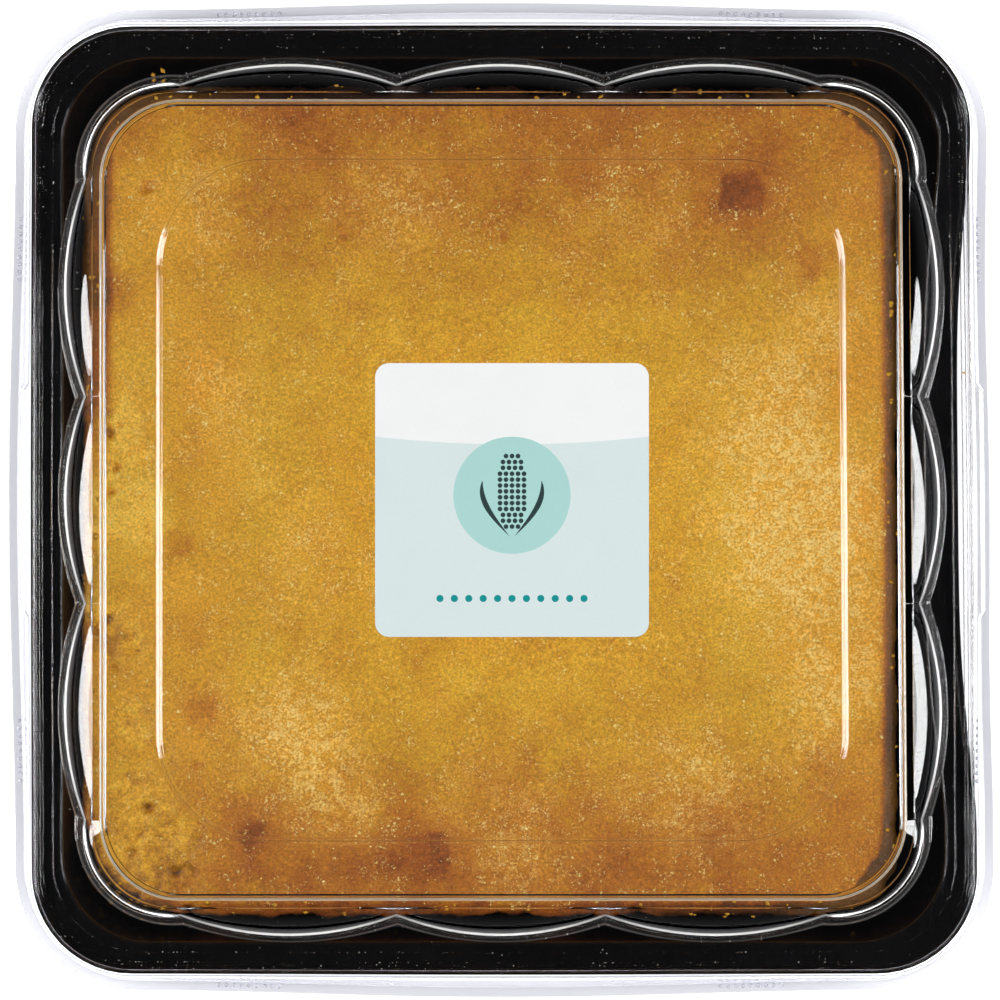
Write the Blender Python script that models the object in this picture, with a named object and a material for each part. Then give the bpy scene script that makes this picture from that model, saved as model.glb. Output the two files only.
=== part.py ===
"""A square of cornbread in its shut retail pack: a black thermoformed tray, the baked square in it,
a clear domed lid with scalloped walls snapped over the tray's rim, and a paper label on the lid.

Metres, +Z up. The origin is on the surface that the pack stands on, under the middle of the pack.
Every shell is lofted from rings that share one point layout, so a ring is described by only a few
sizes: its half width, its corner radius, how far its sides bow out and how deep its scallops are.
The tray's +X side is bent in and has dropped a little way out of the lid's channel.
"""

import math
from collections import namedtuple

import bmesh
import bpy

MM = 0.001

# Driving dimensions, in millimetres. A half is measured from the pack's middle to a side's middle.
TRAY_WALL = 0.6
TRAY_FLOOR_HALF = 80.0
TRAY_FLOOR_CORNER = 14.0
TRAY_FLOOR_ROUNDING = 3.6
TRAY_MOUTH_HALF = 92.4
TRAY_MOUTH_CORNER = 18.0
LEDGE_TOP = 36.0
LEDGE_ROUNDING = 0.6
RIM_TOP = 38.0
RIM_HALF = 99.9
RIM_CORNER = 21.2
RIM_BOW = 0.5
RIM_FOOT_INSET = 4.3
RIM_CREST_INSETS = (2.0, 0.8)
RIM_TURN_DOWN = 4.5

LID_WALL = 0.6
FIT_GAP = 0.3
CHANNEL_FOOT_INSET = 4.6
CHANNEL_TOP_INSET = 2.3
SKIRT_HALF = 105.0
SKIRT_CORNER = 26.0
SKIRT_BOW = 1.4
SKIRT_BOTTOM = 28.4
SKIRT_LIP = 1.8
SKIRT_SHOULDER = 1.2
SKIRT_CLEARANCE = 1.4
CUSP_HALF_AT_FOOT = 89.6
CUSP_HALF_AT_TOP = 87.4
WALL_CORNER = 14.0
WALL_TOP = 48.6
SCALLOP_DEPTH = 4.3
SCALLOP_DEPTH_AT_FOOT = 3.8
CORNER_SCALLOP_DEPTH = 7.6
OUTER_CUSP = 66.7
INNER_CUSP = 21.6
SHOULDER_HALF = 86.1
SHOULDER_DROP = 2.6
DOME_TOP = 56.0
DOME_TOP_HALF = 82.8
DOME_TOP_CORNER = 12.0
DOME_EDGE = (1.2, 0.3)
STACKING_HALF = 71.8
STACKING_CORNER = 23.0
STACKING_SLOPE = 1.4
STACKING_STEP = 0.9

# The bread, the rim and the skirt are this share shorter along X than along Y.
SIDE_TUCK = 0.0114
# The bend in the +X side: how deep it is, how far the rim drops there, and where along Y it lies.
TRAY_BEND = 3.8
TRAY_BEND_DROP = 3.5
LID_BEND = 0.6
BEND_MIDDLE = 15.0
BEND_REACH = 85.0

BREAD_TOP_HALF = 86.3
BREAD_TOP_CORNER = 13.2
BREAD_FOOT_HALF = 76.0
BREAD_FOOT_CORNER = 11.0
BREAD_FOOT_ROUNDING = 2.0
BREAD_HEIGHT = 30.0
BREAD_CROWN = 2.0
BREAD_EDGE_ROUNDING = 3.5
BREAD_SHIFT = (-1.6, -0.5)
BREAD_WAVE = 0.45
BREAD_WAVE_LENGTHS = (19.0, 23.0, 31.0)

LABEL_SIDE = 57.0
LABEL_CORNER = 2.9
LABEL_THICKNESS = 0.15
LABEL_SHIFT = (2.5, 0.0)

# Points along one scallop, and round one corner: every ring has the same ones.
SCALLOP_STEPS = 5
CORNER_STEPS = 9
LABEL_CORNER_STEPS = 5
SMOOTH_ANGLE = math.radians(32)

Ring = namedtuple("Ring", "half corner z bow scallop tuck bend drop", defaults=(0.0,) * 5)


def bowed(y, straight, bow):
    """How far a side stands out at y, with no kink where it meets the corner."""
    if abs(y) >= straight:
        return 0.0
    return bow * math.cos(math.pi * y / (2 * straight)) ** 2


def corner_path(reach, straight, corner, cusp, share):
    """The point at this share of the way round a corner: a straight bit, a quarter circle, a straight bit."""
    straight_bit = straight - cusp
    arc = corner * math.pi / 2
    along = share * (2 * straight_bit + arc)
    if along < straight_bit:
        return reach, cusp + along
    if along > straight_bit + arc:
        return straight - (along - straight_bit - arc), reach
    angle = (along - straight_bit) / corner
    return straight + corner * math.cos(angle), straight + corner * math.sin(angle)


def scallop_corner(reach, cusp, depth, share):
    """The point at this share of the round scallop that spans a corner from cusp to cusp."""
    half_chord = (reach - cusp) / math.sqrt(2)
    radius = (half_chord**2 + depth**2) / (2 * depth)
    half_turn = math.asin(half_chord / radius)
    turn = math.radians(45) - half_turn + 2 * half_turn * share
    middle = (reach + cusp) / 2 - (radius - depth) / math.sqrt(2)
    return middle + radius * math.cos(turn), middle + radius * math.sin(turn)


def quarter(ring):
    """One side and the corner after it, for the side that faces +X."""
    reach = ring.half - ring.bow
    straight = reach - ring.corner
    outer = min(OUTER_CUSP, straight)
    inner = outer * INNER_CUSP / OUTER_CUSP
    points = []
    for start, end in ((-outer, -inner), (-inner, inner), (inner, outer)):
        for step in range(SCALLOP_STEPS):
            share = step / SCALLOP_STEPS
            y = start + (end - start) * share
            swell = 4 * ring.scallop * share * (1 - share)
            points.append((reach + swell + bowed(y, straight, ring.bow), y))
    scalloped = ring.scallop / SCALLOP_DEPTH
    for step in range(CORNER_STEPS):
        share = step / CORNER_STEPS
        plain = corner_path(reach, straight, ring.corner, outer, share)
        round_one = scallop_corner(reach, outer, CORNER_SCALLOP_DEPTH, share)
        points.append(tuple(a + (b - a) * scalloped for a, b in zip(plain, round_one)))
    return points


def settled(x, y, ring):
    """The ring's point at x, y after the ring is drawn in along X and its +X side is bent in and down."""
    x *= 1 - ring.tuck
    if x < 0 or abs(y - BEND_MIDDLE) > BEND_REACH:
        return x, y, ring.z
    share = math.cos(math.pi * (y - BEND_MIDDLE) / (2 * BEND_REACH)) ** 2 * (x / ring.half) ** 2
    return x - ring.bend * share, y, ring.z - ring.drop * share


def ring_points(ring):
    """The whole ring, counter-clockwise seen from above."""
    points = []
    side = quarter(ring)
    for _ in range(4):
        points += [settled(x, y, ring) for x, y in side]
        side = [(-y, x) for x, y in side]
    return points


def under(rings, depth):
    """The rings this deep under a surface whose rings run from a flat middle panel outwards, mitred."""
    normals = [(0.0, -1.0)]
    for first, second in zip(rings, rings[1:]):
        out, up = second.half - first.half, second.z - first.z
        length = math.hypot(out, up)
        normals.append((up / length, -out / length))
    moved = []
    for i, ring in enumerate(rings):
        before = normals[i]
        after = normals[min(i + 1, len(rings) - 1)]
        out, down = before[0] + after[0], before[1] + after[1]
        scale = 2 * depth / (out * out + down * down)
        moved.append(
            ring._replace(
                half=ring.half + out * scale,
                corner=ring.corner + out * scale,
                z=ring.z + down * scale,
            )
        )
    return moved


def loft(name, loops, peak=None):
    """A closed mesh object through these loops of points, its ends filled, or the last drawn to a peak."""
    mesh = bpy.data.meshes.new(name)
    work = bmesh.new()
    rows = [[work.verts.new([MM * value for value in point]) for point in loop] for loop in loops]
    for row, following in zip(rows, rows[1:]):
        for i in range(len(row)):
            j = (i + 1) % len(row)
            work.faces.new((row[i], row[j], following[j], following[i]))
    work.faces.new(list(reversed(rows[0])))
    if peak is None:
        work.faces.new(rows[-1])
    else:
        top = work.verts.new([MM * value for value in peak])
        for first, second in zip(rows[-1], rows[-1][1:] + rows[-1][:1]):
            work.faces.new((first, second, top))
    bmesh.ops.recalc_face_normals(work, faces=work.faces)
    work.to_mesh(mesh)
    work.free()
    mesh.shade_smooth()
    mesh.set_sharp_from_angle(angle=SMOOTH_ANGLE)
    obj = bpy.data.objects.new(name, mesh)
    bpy.context.scene.collection.objects.link(obj)
    return obj


def finish(obj, colour, roughness, transmission=0.0):
    """Gives the object a material of its own."""
    material = bpy.data.materials.new(obj.name)
    material.use_nodes = True
    shader = material.node_tree.nodes["Principled BSDF"]
    shader.inputs["Base Color"].default_value = (*colour, 1.0)
    shader.inputs["Roughness"].default_value = roughness
    shader.inputs["Metallic"].default_value = 0.0
    shader.inputs["Transmission Weight"].default_value = transmission
    obj.data.materials.append(material)


def sheet(name, upper, wall):
    """A formed sheet of this wall thickness: the upper surface's rings, then those of its underside."""
    lower = under(upper, wall)
    return loft(name, [ring_points(ring) for ring in upper + lower[::-1]])


def clear_scene():
    for obj in list(bpy.data.objects):
        bpy.data.objects.remove(obj, do_unlink=True)


def make_tray():
    """The tray: floor, drafted walls, the ledge that the lid sits on, and a raised rim turned down."""
    curve = TRAY_FLOOR_ROUNDING
    crest_in, crest_out = RIM_CREST_INSETS
    floor = [
        Ring(TRAY_FLOOR_HALF - 0.8 * curve, TRAY_FLOOR_CORNER - 0.5 * curve, TRAY_WALL),
        Ring(TRAY_FLOOR_HALF, TRAY_FLOOR_CORNER, TRAY_WALL + 0.3 * curve),
        Ring(TRAY_FLOOR_HALF + 0.5 * curve, TRAY_FLOOR_CORNER + 0.3 * curve, TRAY_WALL + curve),
    ]
    mouth = [
        Ring(TRAY_MOUTH_HALF, TRAY_MOUTH_CORNER, LEDGE_TOP - LEDGE_ROUNDING),
        Ring(TRAY_MOUTH_HALF + LEDGE_ROUNDING, TRAY_MOUTH_CORNER + LEDGE_ROUNDING, LEDGE_TOP),
        Ring(RIM_HALF - RIM_FOOT_INSET, TRAY_MOUTH_CORNER + LEDGE_ROUNDING, LEDGE_TOP, RIM_BOW),
        Ring(RIM_HALF - crest_in, RIM_CORNER - crest_in / 2, RIM_TOP, RIM_BOW),
        Ring(RIM_HALF - crest_out, RIM_CORNER - crest_out / 2, RIM_TOP, RIM_BOW),
        Ring(RIM_HALF, RIM_CORNER, RIM_TOP - RIM_TURN_DOWN, RIM_BOW),
    ]
    floor = [ring._replace(tuck=SIDE_TUCK) for ring in floor]
    mouth = [ring._replace(tuck=SIDE_TUCK, bend=TRAY_BEND, drop=TRAY_BEND_DROP) for ring in mouth]
    upper = floor + mouth
    tray = sheet("tray", upper, TRAY_WALL)
    finish(tray, (0.012, 0.012, 0.013), 0.22)


def make_lid():
    """The clear lid: one thin sheet from its dome down the scalloped wall and over the rim to its lip."""
    over_rim = RIM_TOP + FIT_GAP + LID_WALL
    over_ledge = LEDGE_TOP + FIT_GAP + LID_WALL
    edge_out, edge_drop = DOME_EDGE
    channel_top = RIM_HALF - CHANNEL_TOP_INSET
    skirt_top = RIM_HALF + SKIRT_CLEARANCE
    skirt_foot = SKIRT_HALF - SKIRT_LIP
    dome = [
        Ring(STACKING_HALF - STACKING_SLOPE, STACKING_CORNER - STACKING_SLOPE, DOME_TOP - STACKING_STEP),
        Ring(STACKING_HALF, STACKING_CORNER, DOME_TOP),
        Ring(DOME_TOP_HALF, DOME_TOP_CORNER, DOME_TOP),
        Ring(DOME_TOP_HALF + edge_out, DOME_TOP_CORNER + edge_out / 2, DOME_TOP - edge_drop),
        Ring(SHOULDER_HALF, WALL_CORNER, DOME_TOP - SHOULDER_DROP, 0.0, SCALLOP_DEPTH / 2),
        Ring(CUSP_HALF_AT_TOP, WALL_CORNER, WALL_TOP, 0.0, SCALLOP_DEPTH),
        Ring(CUSP_HALF_AT_FOOT, WALL_CORNER, over_ledge, 0.0, SCALLOP_DEPTH_AT_FOOT),
    ]
    channel = [
        Ring(RIM_HALF - CHANNEL_FOOT_INSET, RIM_CORNER - CHANNEL_TOP_INSET, over_ledge, RIM_BOW),
        Ring(channel_top, RIM_CORNER - CHANNEL_TOP_INSET / 2, over_rim, RIM_BOW),
        Ring(RIM_HALF + FIT_GAP, RIM_CORNER + FIT_GAP, over_rim, RIM_BOW),
    ]
    skirt = [
        Ring(skirt_top, RIM_CORNER + SKIRT_CLEARANCE, over_rim - SKIRT_SHOULDER, RIM_BOW),
        Ring(skirt_foot, SKIRT_CORNER - SKIRT_LIP, SKIRT_BOTTOM, SKIRT_BOW),
        Ring(SKIRT_HALF, SKIRT_CORNER, SKIRT_BOTTOM, SKIRT_BOW),
    ]
    channel = [ring._replace(tuck=SIDE_TUCK) for ring in channel]
    skirt = [ring._replace(tuck=SIDE_TUCK, bend=LID_BEND) for ring in skirt]
    lid = sheet("lid", dome + channel + skirt, LID_WALL)
    finish(lid, (0.96, 0.97, 0.98), 0.04, transmission=1.0)


def uneven(point, foot, edge):
    """Moves a point of the crust by slow waves: in from the pan's square, and up or down on the crown."""
    x, y, z = point
    across, along, aslant = BREAD_WAVE_LENGTHS
    wave = math.sin(x / across + 0.6) * math.cos(y / along - 0.4) + 0.6 * math.sin((x + 2 * y) / aslant)
    share = min((z - foot) / (edge - foot), 1.0)
    shrink = 1 - BREAD_WAVE * share * (1 + wave) / (3 * BREAD_TOP_HALF)
    return (
        x * shrink + BREAD_SHIFT[0],
        y * shrink + BREAD_SHIFT[1],
        z + BREAD_WAVE * wave * share,
    )


def make_cornbread():
    """The baked square: sides that follow the pan's draft, a rounded crust edge and a low crown."""
    foot = TRAY_WALL + FIT_GAP
    edge = foot + BREAD_HEIGHT - BREAD_CROWN
    curve = BREAD_EDGE_ROUNDING
    foot_curve = BREAD_FOOT_ROUNDING
    half, corner = BREAD_TOP_HALF, BREAD_TOP_CORNER
    sides = [
        Ring(BREAD_FOOT_HALF, BREAD_FOOT_CORNER, foot + foot_curve),
        Ring(half - 0.2 * curve, corner, edge - 1.6 * curve),
        Ring(half, corner, edge - curve),
        Ring(half - 0.3 * curve, corner - 0.3 * curve, edge - 0.3 * curve),
        Ring(half - curve, corner - curve / 2, edge),
    ]
    crown = [
        Ring(half * share, corner, edge + BREAD_CROWN * (1 - share**2)) for share in (0.84, 0.6, 0.33)
    ]
    sole = Ring(BREAD_FOOT_HALF - foot_curve, BREAD_FOOT_CORNER - foot_curve, foot)
    rings = [ring._replace(tuck=SIDE_TUCK) for ring in [sole] + sides + crown]
    loops = [[uneven(point, foot, edge) for point in ring_points(ring)] for ring in rings]
    bread = loft("cornbread", loops, peak=uneven((0.0, 0.0, edge + BREAD_CROWN), foot, edge))
    finish(bread, (0.62, 0.34, 0.06), 0.55)


def make_label():
    """The paper label: a thin square with rounded corners, lying in the lid's sunken panel."""
    half = LABEL_SIDE / 2
    straight = half - LABEL_CORNER
    bottom = DOME_TOP - STACKING_STEP + FIT_GAP / 2
    edge = []
    for turn in range(4):
        for step in range(LABEL_CORNER_STEPS + 1):
            angle = math.radians(90 * (turn + step / LABEL_CORNER_STEPS))
            side_x = 1 if turn in (0, 3) else -1
            side_y = 1 if turn in (0, 1) else -1
            x = side_x * straight + LABEL_CORNER * math.cos(angle) + LABEL_SHIFT[0]
            y = side_y * straight + LABEL_CORNER * math.sin(angle) + LABEL_SHIFT[1]
            edge.append((x, y))
    heights = (bottom, bottom + LABEL_THICKNESS)
    label = loft("label", [[(x, y, z) for x, y in edge] for z in heights])
    finish(label, (0.70, 0.79, 0.79), 0.5)


clear_scene()
make_tray()
make_cornbread()
make_lid()
make_label()
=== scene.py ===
# %% [markdown]
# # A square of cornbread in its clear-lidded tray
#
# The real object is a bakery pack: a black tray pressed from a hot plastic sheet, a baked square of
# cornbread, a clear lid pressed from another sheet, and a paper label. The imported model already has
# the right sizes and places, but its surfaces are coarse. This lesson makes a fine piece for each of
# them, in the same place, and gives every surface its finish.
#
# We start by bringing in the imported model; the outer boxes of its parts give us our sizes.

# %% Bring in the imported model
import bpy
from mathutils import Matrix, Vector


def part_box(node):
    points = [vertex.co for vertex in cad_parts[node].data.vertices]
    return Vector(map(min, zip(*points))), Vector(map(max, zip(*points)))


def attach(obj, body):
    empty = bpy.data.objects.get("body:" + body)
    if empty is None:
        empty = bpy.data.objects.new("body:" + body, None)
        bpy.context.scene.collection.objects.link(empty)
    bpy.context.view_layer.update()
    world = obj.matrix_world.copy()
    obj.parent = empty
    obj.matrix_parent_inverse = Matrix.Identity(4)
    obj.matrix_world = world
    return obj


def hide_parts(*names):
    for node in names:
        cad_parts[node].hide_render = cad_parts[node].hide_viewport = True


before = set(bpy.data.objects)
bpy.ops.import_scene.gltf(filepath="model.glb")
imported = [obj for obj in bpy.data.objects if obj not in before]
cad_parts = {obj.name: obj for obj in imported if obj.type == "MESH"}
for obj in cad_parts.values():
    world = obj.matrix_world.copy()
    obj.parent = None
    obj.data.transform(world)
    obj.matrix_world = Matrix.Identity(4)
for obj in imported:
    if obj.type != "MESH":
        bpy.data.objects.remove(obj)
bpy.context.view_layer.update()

import math
from collections import namedtuple

import bpy
import numpy as np
from mathutils import Vector

print("packed nodes:", sorted(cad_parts))

# %% [markdown]
# ## Sizes
#
# We work in millimetres and turn them into Blender's metres only when a mesh is made. The driving
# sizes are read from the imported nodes, so every fine piece lands exactly where its node is.

# %% Read the driving sizes
MM = 0.001


def corners_of(node):
    """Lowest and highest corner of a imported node, in millimetres."""
    low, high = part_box(node)
    return np.array(low) / MM, np.array(high) / MM


lid_low, lid_high = corners_of("lid")
tray_low, tray_high = corners_of("tray")
bread_low, bread_high = corners_of("cornbread")
label_low, label_high = corners_of("label")

SKIRT_HALF = lid_high[1]
SKIRT_BOTTOM = lid_low[2]
DOME_TOP = lid_high[2]
RIM_HALF = tray_high[1]
RIM_TOP = tray_high[2]
BREAD_MIDDLE = (bread_low + bread_high) / 2
BREAD_HALF = (bread_high - bread_low) / 2
LABEL_MIDDLE = (label_low + label_high) / 2
LABEL_HALF = (label_high[0] - label_low[0]) / 2
print("pack %.1f across and %.1f high" % (2 * SKIRT_HALF, DOME_TOP))
print("bread %.1f across" % (2 * BREAD_HALF[1]))

# %% [markdown]
# ## Rings: one way to describe both sheets
#
# Tray and lid are both formed sheets, so one helper makes both. A *station* is one height of the
# sheet's profile: its half width, height, corner radius, how far its sides bow out, how deep its
# scallops are, how much it is tucked in along X, how far its +X side is bent in and down, and how far
# it is pushed out at the thumb tab. From a station we get a *ring* of points, and rings are lofted.
#
# All rings share one layout: three scallops a side and one round each corner. Points crowd together
# near the cusps between scallops, because that is where the sheet turns sharply.

# %% Lay out the points of a ring
FIELDS = "half z corner bow scallop tuck bend drop tab dip notch"
Station = namedtuple("Station", FIELDS, defaults=(0.0,) * 8)

OUTER_CUSP = 66.7
INNER_CUSP = 21.6
SCALLOP_DEPTH = 4.3
CORNER_SCALLOP_DEPTH = 7.6
SIDE_TUCK = 0.0114
RIGHT_STRETCH = 0.0095
RIGHT_SLANT = 0.0094
BEND_MIDDLE = 4.0
BEND_REACH = 74.0
TAB_HALF = 24.6
TAB_END = 1.0
NOTCH_HALF = 0.35
SCALLOP_STEPS = 24
CORNER_STEPS = 30


def crowded(steps):
    """Shares from 0 up to but not including 1, crowded towards both ends."""
    return (1 - np.cos(np.pi * np.arange(steps) / steps)) / 2


def corner_arc(reach, straight, corner, cusp, share):
    """A plain corner from cusp to cusp: a straight bit, a quarter circle and a straight bit."""
    lead = straight - cusp
    arc = corner * math.pi / 2
    along = share * (2 * lead + arc)
    angle = np.clip((along - lead) / corner, 0, math.pi / 2)
    x = straight + corner * np.cos(angle) - np.maximum(along - lead - arc, 0)
    y = straight + corner * np.sin(angle) - np.maximum(lead - along, 0)
    return x, y


def corner_scallop(reach, cusp, share):
    """The one round scallop that spans a corner from cusp to cusp."""
    half_chord = (reach - cusp) / math.sqrt(2)
    depth = CORNER_SCALLOP_DEPTH
    radius = (half_chord**2 + depth**2) / (2 * depth)
    half_turn = math.asin(half_chord / radius)
    turn = math.pi / 4 - half_turn + 2 * half_turn * share
    middle = (reach + cusp) / 2 - (radius - depth) / math.sqrt(2)
    return middle + radius * np.cos(turn), middle + radius * np.sin(turn)


def quarter_of(ring):
    """The side that faces +X and the corner after it, as x and y."""
    reach = ring.half - ring.bow
    straight = reach - ring.corner
    outer = min(OUTER_CUSP, straight)
    inner = outer * INNER_CUSP / OUTER_CUSP
    share = crowded(SCALLOP_STEPS)
    swell = 4 * ring.scallop * share * (1 - share)
    ends = ((-outer, -inner), (-inner, inner), (inner, outer))
    y = np.concatenate([start + (end - start) * share for start, end in ends])
    x = reach + np.tile(swell, 3) + ring.bow * np.cos(np.pi * y / (2 * straight)) ** 2
    share = crowded(CORNER_STEPS)
    scalloped = ring.scallop / SCALLOP_DEPTH
    plain = corner_arc(reach, straight, ring.corner, outer, share)
    round_one = corner_scallop(reach, outer, share)
    corner_x, corner_y = (a + (b - a) * scalloped for a, b in zip(plain, round_one))
    return np.concatenate([x, corner_x]), np.concatenate([y, corner_y])


def ring_of(ring):
    """The whole ring as an array of points, counter-clockwise from above."""
    x, y = quarter_of(ring)
    share = crowded(SCALLOP_STEPS)
    share = np.concatenate([np.tile(share, 3), crowded(CORNER_STEPS)])
    on_side = np.arange(len(share)) < 3 * SCALLOP_STEPS
    from_cusp = np.where(on_side, np.minimum(share, 1 - share) * 2 * OUTER_CUSP / 3, 0)
    sunk = ring.dip * (1 - 4 * share * (1 - share))
    notched = ring.notch * np.exp(-((from_cusp / NOTCH_HALF) ** 2))
    z = ring.z - sunk - notched
    points = []
    for quarter in range(4):
        on_tab = np.clip((TAB_HALF - np.abs(y)) / TAB_END, 0, 1) if quarter in (0, 2) else 0 * y
        pushed = x + ring.tab * on_tab
        turned = [(pushed, y), (-y, pushed), (-pushed, -y), (y, -pushed)][quarter]
        points.append(np.column_stack([*turned, z]))
    points = np.concatenate(points)
    stretch = RIGHT_STRETCH * (1 - ring.tuck / SIDE_TUCK)
    slant = RIGHT_SLANT * points[:, 1] / 100
    points[:, 0] *= np.where(points[:, 0] < 0, 1 - ring.tuck, 1 + stretch - slant)
    away = np.clip(np.abs(points[:, 1] - BEND_MIDDLE) / BEND_REACH, 0, 1)
    share = np.cos(np.pi / 2 * away**2) ** 2 * np.clip(points[:, 0] / ring.half, 0, None) ** 2
    points[:, 0] -= ring.bend * share
    points[:, 2] -= ring.drop * share
    return points


RING_POINTS = 4 * (3 * SCALLOP_STEPS + CORNER_STEPS)
print("points in each ring:", RING_POINTS)

# %% [markdown]
# ## Rounding the profile
#
# A hot sheet never takes a sharp corner from its mould, and it is these small roundings that catch
# the light as thin bright lines. We write the profile with sharp corners and let a helper swap each
# corner for a short curve. A quadratic curve through all of a station's values at once is enough: it
# rounds the profile and, in the same step, eases the scallops in and out.

# %% Round the corners of a profile
GUARD = 0.12


def rounded(stations):
    """Each entry is (station, how far from the corner its rounding starts). Ends stay as they are.

    A guard station on each straight run, right beside a rounding, keeps the shading of the run flat.
    """
    rows = [np.array(station) for station, _ in stations]
    made = [rows[0]]

    def run_to(place):
        gap = np.hypot(*(place - made[-1])[:2])
        if gap > 4 * GUARD:
            step = (place - made[-1]) * GUARD / gap
            made.extend([made[-1] + step, place - step])

    for before, here, after, (_, start) in zip(rows, rows[1:], rows[2:], stations[1:]):
        back = min(start / np.hypot(*(before - here)[:2]), 0.9)
        on = min(start / np.hypot(*(after - here)[:2]), 0.9)
        first = here + (before - here) * back
        last = here + (after - here) * on
        run_to(first)
        steps = 5 + int(start)
        for t in np.linspace(0, 1, steps + 1):
            made.append((1 - t) ** 2 * first + 2 * t * (1 - t) * here + t**2 * last)
    run_to(rows[-1])
    made.append(rows[-1])
    return [Station(*row) for row in made]


sharp = [(Station(1, 0, 1), 0), (Station(10, 0, 1), 2.0), (Station(10, 10, 1), 0)]
print("a corner rounded over 2 mm becomes %d stations" % len(rounded(sharp)))


# %% Find the underside of a sheet
def underside(stations, wall):
    """The same profile, this much deeper: each station moves against its own normal."""
    profile = np.array([(station.half, station.z) for station in stations])
    along = np.gradient(profile, axis=0)
    along /= np.linalg.norm(along, axis=1)[:, None]
    moved = []
    for station, (out, up) in zip(stations, along):
        half, corner = station.half + up * wall, station.corner + up * wall
        moved.append(station._replace(half=half, corner=corner, z=station.z - out * wall))
    return moved


# %% [markdown]
# ## Meshes from arrays
#
# Blender makes a mesh from a list of points and a list of faces. We keep both as arrays and build
# closed shells: the upper side from the middle out, round the lip, and the underside back in.

# %% Make a mesh piece from points and faces
def add_object(name, data):
    made = bpy.data.objects.new(name, data)
    bpy.context.scene.collection.objects.link(made)
    return made


def add_piece(name, points, faces, material):
    """A smooth mesh object that rides on the pack's one body."""
    mesh = bpy.data.meshes.new(name)
    mesh.from_pydata((np.asarray(points) * MM).tolist(), [], faces)
    mesh.validate()
    mesh.shade_smooth()
    mesh.materials.append(material)
    piece = add_object(name, mesh)
    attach(piece, "root")
    print("%s: %d points, %d faces" % (name, len(mesh.vertices), len(mesh.polygons)))
    return piece


def strip_faces(rows, count):
    """Quads between this many rings of count points each."""
    i, j = np.meshgrid(np.arange(rows - 1), np.arange(count), indexing="ij")
    following = (j + 1) % count
    near, far = i * count, (i + 1) * count
    corners = (near + j, near + following, far + following, far + j)
    return np.stack(corners, axis=-1).reshape(-1, 4).tolist()


def shell(upper, wall):
    """Points and faces of a closed sheet whose upper stations run from the flat middle outwards."""
    lower = underside(upper, wall)
    rings = [ring_of(station) for station in upper + lower[::-1]]
    count = len(rings[0])
    faces = [face[::-1] for face in strip_faces(len(rings), count)]
    last = (len(rings) - 1) * count
    points = np.concatenate(rings + [[[0, 0, upper[0].z]], [[0, 0, lower[0].z]]])
    top, bottom = len(points) - 2, len(points) - 1
    for j in range(count):
        k = (j + 1) % count
        faces.append((top, j, k))
        faces.append((bottom, last + k, last + j))
    return points, faces


print("a ring joined to the next makes %d faces" % len(strip_faces(2, RING_POINTS)))


# %% Give rows and points something of their own
def paint(piece, faces, slot):
    """Gives these faces the material in this slot of the piece."""
    index = np.empty(len(piece.data.polygons), dtype=np.int32)
    piece.data.polygons.foreach_get("material_index", index)
    index[faces] = slot
    piece.data.polygons.foreach_set("material_index", index)


def finish_rows(piece, upper, test, material):
    """Gives a material of their own to the rows of a shell whose stations pass the test."""
    passed = np.array([test(station) for station in upper + upper[::-1]])
    rows = passed[:-1] & passed[1:]
    piece.data.materials.append(material)
    faces = np.flatnonzero(np.repeat(rows, RING_POINTS))
    paint(piece, faces, len(piece.data.materials) - 1)
    print("%s: %d rows in %s" % (piece.name, rows.sum(), material.name))


def store(piece, name, values):
    """Keeps one number for each point of the mesh, for the finish to read."""
    stored = piece.data.attributes.new(name, "FLOAT", "POINT")
    stored.data.foreach_set("value", np.asarray(values, dtype=np.float32))


print("helpers for rows and points ready")

# %% [markdown]
# ## Finishes: a small node helper
#
# Every finish starts from the Principled shader and adds procedural texture. These helpers only save
# typing: one starts a material, one adds a node with its values, and one makes a noise in the
# object's own coordinates with its grain given in millimetres.

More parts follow.
